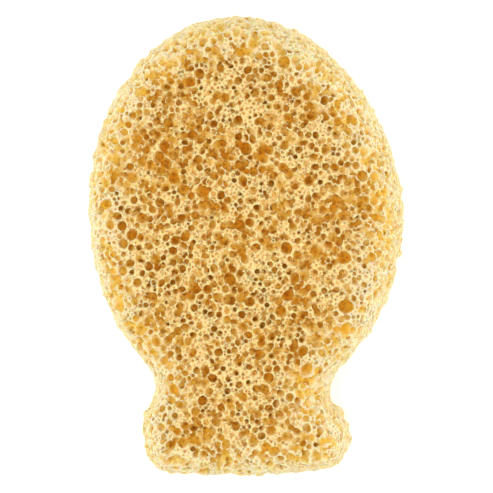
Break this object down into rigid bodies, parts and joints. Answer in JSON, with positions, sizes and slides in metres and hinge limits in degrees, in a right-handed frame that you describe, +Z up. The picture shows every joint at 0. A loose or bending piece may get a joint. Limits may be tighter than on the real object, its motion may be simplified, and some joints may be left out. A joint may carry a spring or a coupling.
{
  "type": "bath sponge",
  "caption": "Bath sponge of coarse open-cell foam in a plain fish outline: an oval body, a waist and a short flared tail, pitted all over, lying flat on its back.",
  "frame": {"origin": "on the resting surface, under the middle of the sponge's box", "axes": "+Z up, out of the front face; +Y towards the head; +X to the right as the front is seen"},
  "size_m": [0.103, 0.15, 0.04],
  "materials": {
    "foam": "matte open-cell foam, pale cream on the skin and orange in the pores"
  },
  "bodies": {
    "root": {"sponge": "foam"}
  },
  "joints": []
}
